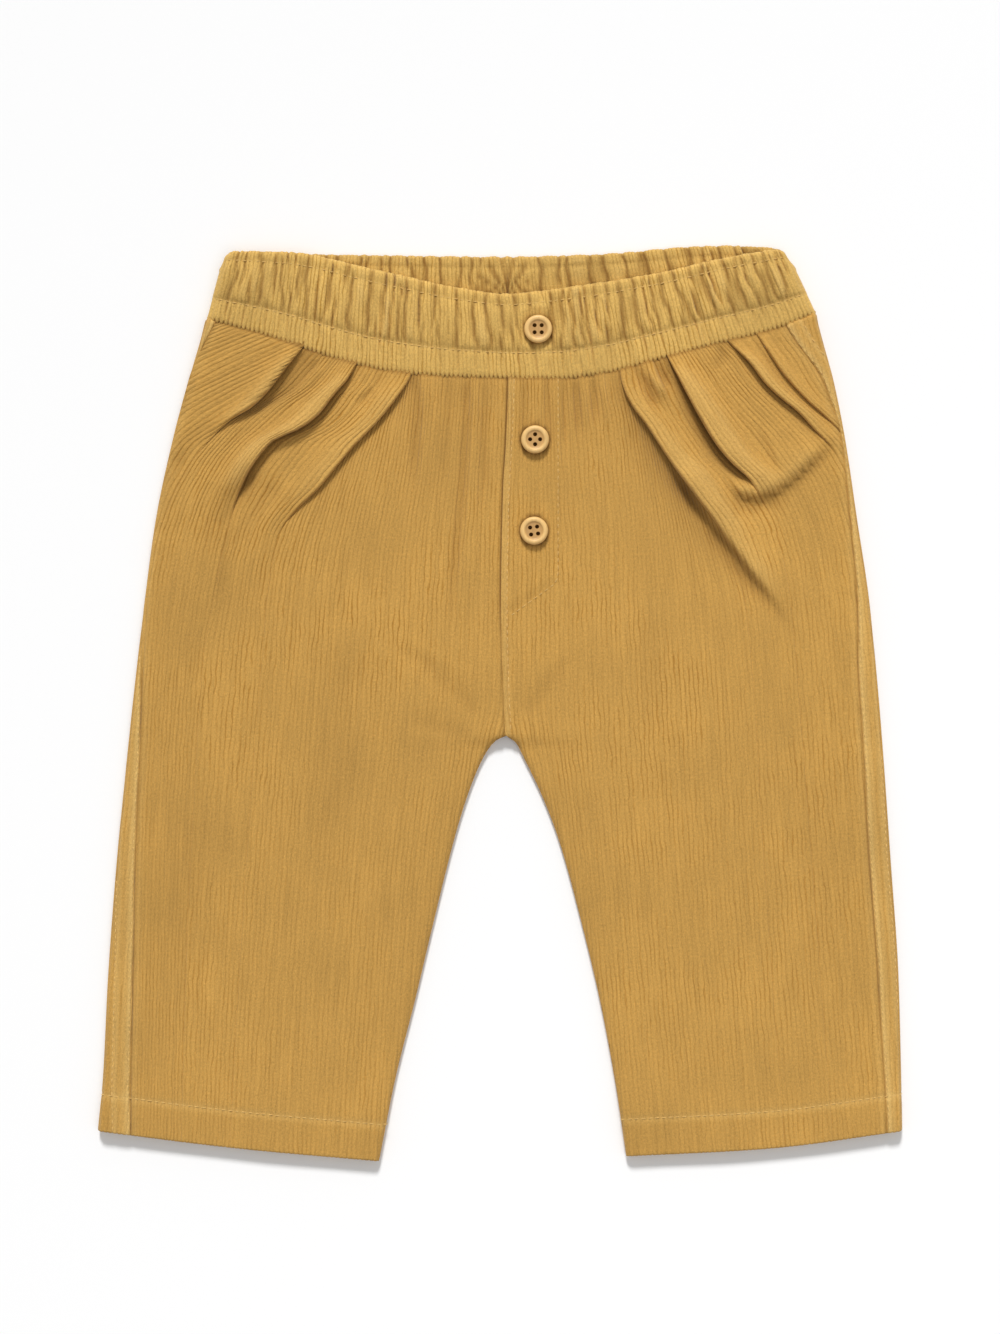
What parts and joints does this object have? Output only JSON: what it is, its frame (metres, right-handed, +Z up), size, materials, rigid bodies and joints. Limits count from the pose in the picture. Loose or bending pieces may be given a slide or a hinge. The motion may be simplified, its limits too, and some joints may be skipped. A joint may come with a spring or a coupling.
{
  "type": "baby's corduroy trousers",
  "caption": "Baby's pull-on corduroy trousers laid flat, with a gathered elastic waistband, released front pleats, a buttoned mock fly and stitched hems.",
  "frame": {"origin": "middle of the garment's box, on the surface that it lies on", "axes": "+X towards the wearer's left, +Y towards the waist, +Z up from the surface, so the front faces up"},
  "size_m": [0.3222, 0.3666, 0.0096],
  "materials": {
    "corduroy": "fine cotton corduroy with a short nap, ochre",
    "thread": "matt sewing thread, a little paler than the cloth",
    "button": "smooth pale tan, satin"
  },
  "bodies": {
    "root": {"front_right": "corduroy", "front_left": "corduroy", "back_right": "corduroy", "back_left": "corduroy", "waistband_front": "corduroy", "waistband_back": "corduroy", "button_waist": "button", "button_fly_top": "button", "button_fly_bottom": "button"}
  },
  "joints": []
}
